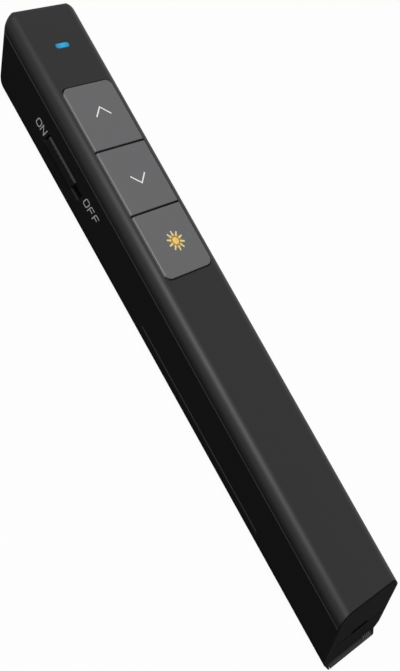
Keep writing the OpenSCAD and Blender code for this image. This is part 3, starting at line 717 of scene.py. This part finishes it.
def thin_the_lip(work):
    """Cuts a ring at the lip's new height and gives what stands out of the tail's plane a flatter
    slope. The plane is y = tail_foot + tail_lean z, and the lip leaves its round tip at (lip_y,
    lip_z) towards it. Its two ends are rounded: its reach shrinks by sqrt(1 - u^2) where u counts
    the `lip_round` millimetres past |x| = `lip_straight`."""
    cut_ring(work, (0, 0, lip_h * mm), (0, 0, 1))
    x, y, z = places_of(work.verts)
    plane = tail_foot + tail_lean * z
    thin = np.where(z > lip_z - 0.001, np.minimum(lip_y + lip_slope * (z - lip_z), plane), y)
    u = np.maximum(np.abs(x) - lip_straight, 0) / lip_round
    reach = np.sqrt(np.maximum(1 - u ** 2, 0))
    y = np.where((y < plane - 0.004) & (z < solid_lip_h), plane - reach * (plane - thin), y)
    move_to(work.verts, x, y, z)


# %% [markdown]
# A moulding has no knife-sharp edge. A copy of each solid is merged, its flat faces are made whole,
# and a small Bevel rounds every sharp edge by about a tenth of a millimetre. The flat faces keep
# their normals, so the light runs clean over them. The plug's folded shell gets the same care.

# %% Rounded mouldings
def rounded_copy(node_name, name, material, slot, width, *shaping):
    """A merged, reshaped copy of a solid whose edges over 50 degrees are rounded by `width`
    millimetres."""
    solid = nodes[node_name]
    mesh = solid.data.copy()
    mesh.name = name
    work = bmesh.new()
    work.from_mesh(mesh)
    bmesh.ops.remove_doubles(work, verts=work.verts, dist=0.002 * mm)
    bmesh.ops.dissolve_limit(work, angle_limit=math.radians(0.3), verts=work.verts,
                             edges=work.edges, use_dissolve_boundaries=False)
    for change in shaping:
        change(work)
    open_edges = sum(not e.is_manifold for e in work.edges)
    work.to_mesh(mesh)
    work.free()
    dress(mesh, material)
    smooth(mesh, 30)
    made = linked(name, mesh)
    edge = made.modifiers.new("moulded edges", "BEVEL")
    edge.width, edge.segments = width * mm, 3
    edge.limit_method, edge.angle_limit = "ANGLE", math.radians(50)
    edge.use_clamp_overlap = edge.harden_normals = True
    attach(made, solid["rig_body"])
    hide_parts(node_name)
    print(f"{name}: {len(mesh.polygons)} faces, open edges {open_edges}")


rounded_copy("bottom_shell", "shell_moulding", shell_black, "shell", 0.12, round_the_nose,
             thin_the_lip)
rounded_copy("top_cover", "cover_moulding", cover_black, "cover", 0.15, round_the_nose)
rounded_copy("battery_door", "door_moulding", door_black, "shell", 0.15)
rounded_copy("receiver_housing", "receiver_moulding", receiver_dull, "shell", 0.08, thin_the_lip)
rounded_copy("usb_plug_shell", "plug_shell_folded", nickel, "steel", 0.12)

# %% [markdown]
# A key cap is a thin plate whose edge is softly rounded and whose top is dished a hair so that a
# thumb finds its middle. Its outline is a rectangle whose corner radii are large at the two ends of
# the key block and nearly sharp where two keys meet. We carry it up the skirt, round the edge, and
# then inwards over the dish.

# %% Key caps
key_flange, key_fillet, key_dish, key_slab, key_air = 0.5, 0.22, 0.015, 2.4, 0.09
big_r, small_r, least_r, post_r, post_step, dish_reach = 1.6, 0.25, 0.03, 1.5, 0.1, 4


def rounded_outline(width, y0, y1, r_tail, r_nose, steps=7):
    """A rectangle once round, against the clock. Each corner is a quarter circle of its own radius
    about a centre that lies one radius in from both of its sides."""
    quarter = np.linspace(0, np.pi / 2, steps + 1)
    corners = []
    for k, (side, end) in enumerate([(1, -1), (1, 1), (-1, 1), (-1, -1)]):
        r = r_tail if end < 0 else r_nose
        angle = quarter + (k - 1) * np.pi / 2
        middle = np.array([side * (width / 2 - r), y0 + r if end < 0 else y1 - r])
        corners.append(middle + r * np.stack([np.cos(angle), np.sin(angle)], -1))
    return np.concatenate(corners)


def stacked(profile, width, y0, y1, r_tail, r_nose):
    """The outline moved in by `inset` and lifted to z, for each (inset, z) of the profile."""
    rings = []
    for inset, z in profile:
        flat = rounded_outline(width - 2 * inset, y0 + inset, y1 - inset,
                               max(r_tail - inset, least_r), max(r_nose - inset, least_r))
        rings.append(np.column_stack([flat, np.full(len(flat), z)]))
    return np.array(rings)


def circle_rings(profile, y=0, sides=32):
    """Rings of a turned post: a circle of radius r at height z for each (r, z) of the profile."""
    b = np.linspace(0, 2 * np.pi, sides, endpoint=False)
    return np.array([np.column_stack([r * np.cos(b), y + r * np.sin(b), np.full(sides, z)])
                     for r, z in profile])


def key_cap(name, solid, body, r_tail, r_nose):
    """The cap's plate and the post that presses its switch. Going inwards by d past the fillet, the
    top sinks by the dish times half of one minus the cosine of pi d / reach, and stays level from
    there. Returns the height of the dished face."""
    low, high = corners_of(solid)
    top, width = high[2], high[0] - low[0] - 2 * key_flange
    foot, brim = top - key_slab, top - key_fillet
    bend = np.linspace(0, np.pi / 2, 7)[1:]
    d = np.linspace(0.4, 5.6, 9)
    fall = key_dish * (1 - np.cos(np.pi * np.minimum(d / dish_reach, 1))) / 2
    inset = np.concatenate([[0.1, 0, 0], key_fillet * (1 - np.cos(bend)), key_fillet + d])
    z = np.concatenate([[foot, foot + 0.1, brim], brim + key_fillet * np.sin(bend), top - fall])
    y0, y1 = low[1] + key_air * (r_tail == big_r), high[1] - key_air * (r_nose == big_r)
    plate = stacked(zip(inset, z), width - 2 * key_air, y0, y1, r_tail, r_nose)
    post = circle_rings([(post_r - post_step, low[2]), (post_r, low[2] + post_step),
                         (post_r, foot + 0.05)], (low[1] + high[1]) / 2)
    piece(name, [plate, post], body, key_grey, [solid])
    return top - key_dish


key_face = key_cap("page_up_cap", "page_up_key", "page_up", small_r, big_r)
key_cap("page_down_cap", "page_down_key", "page_down", small_r, small_r)
key_cap("laser_cap", "laser_key", "laser_button", big_r, small_r)
print("key faces are at z", round(key_face, 2))

# %% [markdown]
# The signs on the keys are pad printed: two thin chevrons for the pages and a small sun for the
# laser. Ink has a real thickness of some hundredths of a millimetre. A stroke is a strip along a
# path; at a bend its edges meet on the mitre, so it keeps its width.

# %% Signs on the keys
ink_low, ink_high = -0.06, 0.012
chevron_half, chevron_rise, stroke = 2.05, 2.0, 0.28
sign_x, up_y, down_y = 0.2, 46.95, 30.70


def strip(path, width, closed=False):
    """A flat strip as rings of four points. With unit normals n1 and n2 of the runs before and
    after a point, its edges lie at plus and minus (n1 + n2) / (1 + n1 . n2) times half the
    width."""
    path = np.asarray(path, float)
    runs = np.roll(path, -1, 0) - path if closed else np.diff(path, axis=0)
    runs /= np.linalg.norm(runs, axis=1, keepdims=True)
    normal = np.stack([-runs[:, 1], runs[:, 0]], -1)
    before = np.roll(normal, 1, 0) if closed else np.vstack([normal[:1], normal])
    after = normal if closed else np.vstack([normal, normal[-1:]])
    half = (before + after) / (1 + (before * after).sum(1, keepdims=True)) * width / 2
    corners = (1, ink_high), (1, ink_low), (-1, ink_low), (-1, ink_high)
    return np.stack([np.column_stack([path + side * half, np.full(len(path), z)])
                     for side, z in corners], 1)


def on_key(rings, x, y):
    """Moves (across, along, height) of the ink to its place on a key's face."""
    return rings + np.array([x, y, key_face])


up = strip([(-chevron_half, 0), (0, chevron_rise), (chevron_half, 0)], stroke)
down = strip([(-chevron_half, chevron_rise), (0, 0), (chevron_half, chevron_rise)], stroke)
piece("page_up_sign", [on_key(up, sign_x, up_y)], "page_up", white_ink)
piece("page_down_sign", [on_key(down, sign_x, down_y)], "page_down", white_ink)

# %% [markdown]
# The laser key carries a small sun: an amber disc in a darker ring, and ten cream rays. It is
# printed in three passes, so it is three pieces: the dark ring is a disc printed a hair lower than
# the amber one, and the rays are strips that start inside the ring and run out to one circle.

# %% Sun sign
sun_x, sun_y, disc_r, ring_r, ring_drop = 0.45, 16.85, 0.80, 1.68, 0.008
ray_in, ray_out, ray_wide, rays = 1.12, 2.25, 0.36, 10


def ink_disc(r, top):
    """A printed disc with a slightly rounded rim."""
    return on_key(circle_rings([(r, ink_low), (r, top - 0.01), (r - 0.03, top)]), sun_x, sun_y)


ways = [np.array([np.sin(b), np.cos(b)]) for b in 2 * np.pi * np.arange(rays) / rays]
beams = [on_key(strip([w * ray_in, w * ray_out], ray_wide), sun_x, sun_y) for w in ways]
piece("laser_sign_glow", [ink_disc(ring_r, ink_high - ring_drop)], "laser_button", gold_ink)
piece("laser_sign_disc", [ink_disc(disc_r, ink_high)], "laser_button", amber_ink)
piece("laser_sign_beams", beams, "laser_button", cream_ink)

# %% [markdown]
# The power slide's two ends are marked ON and OFF in squared letters, which read along the side
# from nose to tail. Each letter is a few strips on a small grid. Their plane stands upright, so
# (along, up, outwards) becomes (-Y, Z, -X).

# %% ON and OFF
side_x = corners_of("bottom_shell")[0][0]
chamfer, letter_stroke, past_end, layer = 0.28, 0.23, 0.14, 0.002


def letter(which, w, h):
    """Strokes of one squared letter in a box w wide and h high."""
    c, low, high, bar = chamfer, -past_end, h + past_end, h * 0.47
    if which == "O":
        ring = [(c, 0), (w - c, 0), (w, c), (w, h - c), (w - c, h), (c, h), (0, h - c), (0, c)]
        return [(strip(ring, letter_stroke, True), True)]
    runs = {"N": [[(0, low), (0, high)], [(w, low), (w, high)], [(0.02, h), (w - 0.02, 0)]],
            "F": [[(0, low), (0, h - c), (c, h), (w, h)], [(0.1, bar), (w * 0.88, bar)]]}
    return [(strip(run, letter_stroke), False) for run in runs[which]]


def word(text, start_y, base_z, w, h, gap):
    """All strokes of a word, one letter after another towards the tail. Each further stroke of a
    letter lies one thin layer higher."""
    out = []
    for k, which in enumerate(text):
        for n, (rings, closed) in enumerate(letter(which, w, h)):
            along, rise, out_by = np.moveaxis(rings, -1, 0)
            y = start_y - along - k * (w + gap)
            out.append((np.stack([side_x - out_by - layer * n, y, base_z + rise], -1), closed))
    return out


piece("on_mark", word("ON", 52.75, 5.92, 1.42, 1.60, 0.50), "handset", grey_ink)
piece("off_mark", word("OFF", 32.95, 6.55, 1.35, 1.65, 0.58), "handset", grey_ink)

# %% [markdown]
# The slide's knob is a ribbed bar that stands a third of a millimetre out of its slot, on a plate
# that runs behind the wall. A section of the bar is carried along its length. Wherever a groove
# comes by, the outer face steps back along one wave of a cosine.

# %% Power knob
pitch, half_run, groove_depth, groove_half = 1.1, 3.5 * 1.1, 0.07, 0.30
edge_r, brow, stand, bar_y0, bar_y1 = 0.14, 0.26, 0.33, 37.05, 48.05
plate_thick, plate_rim, plate_r = 0.6, 0.5, 0.4


def ribbed_bar(low, high):
    """Sections along Y. With u the distance to the nearest groove's middle, the face steps back by
    depth (1 + cos(pi u / half)) / 2 where u is under half a groove. Near each end all edges pull in
    on a quarter circle. The upper edge is a flat brow, as deep as the bar stands out."""
    y = np.unique(np.concatenate([np.linspace(low[1], low[1] + edge_r, 6),
                                  np.linspace(high[1] - edge_r, high[1], 6),
                                  np.linspace(low[1], high[1], 260)]))
    off = y - (low[1] + high[1]) / 2
    u = np.minimum(np.abs((off + half_run) % pitch - pitch / 2) / groove_half, 1)
    groove = np.where(np.abs(off) < half_run, groove_depth * (1 + np.cos(np.pi * u)) / 2, 0)
    gone = np.maximum(edge_r - np.minimum(y - low[1], high[1] - y), 0)
    pull = edge_r - np.sqrt(np.maximum(edge_r ** 2 - gone ** 2, 0))
    face, back = low[0] + groove + pull, np.full_like(y, high[0])
    z0, z1 = low[2] + pull, high[2] - pull
    bend, bevel = np.linspace(0, np.pi / 2, 5), (0, 0.08, 0.5, 0.92, 1)
    x = [back, *(face + edge_r * (1 - np.sin(b)) for b in bend),
         *(face + stand * t for t in bevel), back]
    z = [z0, *(z0 + edge_r * (1 - np.cos(b)) for b in bend),
         *(z1 - brow * (1 - t) for t in bevel), z1]
    return np.stack([np.array(x).T, np.tile(y[:, None], len(x)), np.array(z).T], -1)


(x0, y0, z0), (x1, y1, z1) = corners_of("power_knob")
plate_x = x1 - plate_thick
bar = ribbed_bar((x0, bar_y0, z0 + plate_rim), (plate_x + 0.1, bar_y1, z1 - plate_rim))
plate = stacked([(0, 0), (0, plate_thick)], z1 - z0, y0, y1, plate_r, plate_r)
z_of, y_of, x_of = np.moveaxis(plate, -1, 0)
plate = np.stack([plate_x + x_of, y_of, (z0 + z1) / 2 + z_of], -1)
piece("power_knob_ribbed", [bar, plate], "power_slider", knob_black,
      ["power_knob"])

# %% [markdown]
# The status light comes up through a clear pipe, whose end is a small pill-shaped window that glows
# sky blue. One stack of pill outlines makes the stem, the collar that stops it under the cover, and
# the softly rounded end.

# %% Light window
(x0, y0, z0), (x1, y1, z1) = corners_of("light_pipe")
collar, collar_z0, collar_z1, step, pill_r = 0.7, 11.7, 12.7, 0.05, 0.6
profile = [(step, z0), (0, z0 + 0.1), (0, collar_z0), (step - collar, collar_z0),
           (-collar, collar_z0 + step), (-collar, collar_z1 - step), (step - collar, collar_z1),
           (0, collar_z1), (0, z1 - 0.14), (0.04, z1 - 0.05), (0.12, z1 - 0.01), (0.30, z1),
           (0.52, z1)]
y = (y0 + y1) / 2
window = stacked(profile, x1 - x0 - 2 * collar, y - pill_r, y + pill_r, pill_r, pill_r)
piece("light_window", [window], "handset", lamp_glow, ["light_pipe"])

# %% [markdown]
# A few fine ribs at one end of the pull lip give the nail some grip. Each rib is a thin bar with
# tapered ends that lies on the lip's slope.

# %% Grip ribs on the pull lip
rib_half, rib_deep, rib_sink, rib_top, rib_steps = 0.14, 0.32, 0.16, 1.0, 12


def wire(path, first, second, radius, sides=10):
    """Rings round a path: point + radius (cos b first + sin b second), for b once round."""
    b = np.linspace(0, 2 * np.pi, sides, endpoint=False)[:, None]
    first, second = np.atleast_2d(first)[:, None], np.atleast_2d(second)[:, None]
    return path[:, None] + np.reshape(radius, (-1, 1, 1)) * (np.cos(b) * first + np.sin(b) * second)


foot = np.array([lip_y + 0.05, lip_z + 0.03])
head = np.array([tail_foot + tail_lean * rib_top + 0.05, rib_top])
run = (head - foot) / np.linalg.norm(head - foot)
outward = np.array([0, -run[1], run[0]])
along = np.linspace(foot, head, rib_steps)
taper = np.sqrt(1 - 0.96 * np.abs(np.linspace(-1, 1, rib_steps)) ** 4)
ribs = [wire(np.column_stack([np.full(rib_steps, x), along]) - outward * rib_sink,
             (rib_half, 0, 0), outward * rib_deep, taper) for x in (4.3, 4.9, 5.5, 6.1)]
piece("pull_lip_ribs", ribs, "receiver", rib_grey)

# %% [markdown]
# Under the door lies a AAA cell. It is a turned shape: a flat steel base with a rolled rim, a
# straight printed sleeve, a shoulder and the small nub that touches the positive contact. Its plus
# and minus are strips wrapped round the sleeve.

# %% Battery cell
(x0, y0, z0), (x1, y1, z1) = corners_of("battery_cell")
axis_z, cell_r = (z0 + z1) / 2, (x1 - x0) / 2
shoulder, sign_half, sign_stroke = y1 - 1.0, 1.3, 0.5


def turned(profile, sides=72):
    """A profile of (radius, y) turned round the cell's axis."""
    a = np.linspace(0, 2 * np.pi, sides, endpoint=False)
    r, y = np.array(profile).T
    return np.stack([r[:, None] * np.sin(a), np.tile(y[:, None], sides),
                     axis_z + r[:, None] * np.cos(a)], -1)


def wrapped(rings, y):
    """Lays a strip round the sleeve's underside: the angle is the distance across over radius."""
    across, along, lift = np.moveaxis(rings, -1, 0)
    angle, r = across / cell_r, cell_r + lift
    return np.stack([r * np.sin(angle), y + along, axis_z - r * np.cos(angle)], -1)


can = turned([(0.1, y0 + 0.18), (3.3, y0 + 0.18), (3.5, y0 + 0.03), (3.7, y0), (4.7, y0),
              (5.0, y0 + 0.08), (5.17, y0 + 0.25), (cell_r, y0 + 0.55), (cell_r, shoulder - 0.5),
              (5.19, shoulder - 0.25), (5.0, shoulder - 0.07), (4.6, shoulder), (2.3, shoulder),
              (2.0, shoulder + 0.05), (1.9, shoulder + 0.2), (1.9, y1 - 0.2), (1.75, y1 - 0.04),
              (1.5, y1), (0.1, y1)])
piece("cell_can", [can], "handset", sleeve_print, ["battery_cell"], sharp=50)
level = strip([(x, 0) for x in np.linspace(-sign_half, sign_half, 9)], sign_stroke)
upright = strip([(0, -sign_half), (0, sign_half)], sign_stroke)
plus_y, minus_y = y1 - 6, y0 + 5
piece("cell_signs", [wrapped(level, plus_y), wrapped(upright, plus_y), wrapped(level, minus_y)],
      "handset", white_ink)

# %% [markdown]
# The negative end leans on a cone of spring wire. A coil whose radius shrinks evenly while it moves
# along gives the cone. The first and last third of a turn lie flat, as the ends of a real spring
# do.

# %% Battery spring
(x0, y0, _), (x1, y1, _) = corners_of("battery_spring")
wire_r, turns, shrink, flat_end = 0.3, 3.5, 1.6, 0.10
t = np.linspace(0, 1, 180)
angle = 2 * np.pi * turns * t
radius = (x1 - x0) / 2 - wire_r - shrink * t
climb = np.clip((t - flat_end) / (1 - 2 * flat_end), 0, 1)
path = np.column_stack([radius * np.cos(angle), y0 + wire_r + (y1 - y0 - 2 * wire_r) * climb,
                        axis_z + radius * np.sin(angle)])
outwards = np.column_stack([np.cos(angle), np.zeros_like(angle), np.sin(angle)])
coil = wire(path, outwards, (0, 1, 0), wire_r, 12)
piece("spring_coil", [coil], "handset", spring_steel, ["battery_spring"], sharp=60)

# %% [markdown]
# The parts inside keep their exact solids: they are small machined or stamped shapes with crisp
# edges. Each one still gets the finish of the real thing, from rolled steel switch covers to the
# brass laser barrel.

# %% Finishes of the inner parts
inner = {
    knob_black: ["page_up_plunger", "page_down_plunger", "laser_plunger"],
    steel: ["page_up_switch", "page_down_switch", "laser_switch", "switch_case", "crystal",
            "spring_plate", "contact_plate"],
    pure_white: ["switch_lever", "usb_tongue"],
    board_lacquer: ["main_board", "laser_board", "receiver_board"],
    dull_steel: ["case_screw"],
    black_steel: ["board_screws"],
    gold: ["laser_diode", "usb_contacts"],
    chip_black: ["radio_chip"], capacitor_tan: ["chip_capacitors"], diode_white: ["status_led"],
    brass: ["laser_barrel"], lens_clear: ["laser_lens"], window_red: ["laser_window"],
    nickel: ["receiver_magnet"],
}
for material, names in inner.items():
    for name in names:
        dress(nodes[name].data, material)
print("dressed inner parts:", sum(map(len, inner.values())))

# %% [markdown]
# The stick lies on a white table. To the camera it is nearly all plain white, but a small part of
# it stays a real matt surface that takes the stick's soft shadow. What the object itself reflects
# of it is half white and half real.

# %% Table
half, plain_seen, plain_mirrored = 3, 0.965, 0.5
table_mesh = bpy.data.meshes.new("white_table")
corners = [(-half, -half, 0), (half, -half, 0), (half, half, 0), (-half, half, 0)]
table_mesh.from_pydata(corners, [], [(0, 1, 2, 3)])
table_white = bpy.data.materials.new("white table")
table_white.use_nodes = True
tree = table_white.node_tree
tree.nodes.clear()
seen = node("LightPath", {}, tree).outputs
paper = blend(noise(here(tree), 40.0), (0.63, 0.63, 0.63), (0.67, 0.67, 0.67))
matt = node("BsdfDiffuse", {"Color": paper})
bright = node("Emission", {"Color": (1, 1, 1), "Strength": 1.0}, tree)
mirrored = maths("MAXIMUM", seen["Is Glossy Ray"], seen["Is Transmission Ray"])
plain = maths("MAXIMUM", times(seen["Is Camera Ray"], plain_seen),
              times(mirrored, plain_mirrored))
clean = node("MixShader", {0: plain, 1: matt.outputs[0], 2: bright.outputs[0]})
node("OutputMaterial", {0: clean.outputs[0]})
table_mesh.materials.append(table_white)
table = linked("white_table", table_mesh)
print("table nodes:", len(tree.nodes))
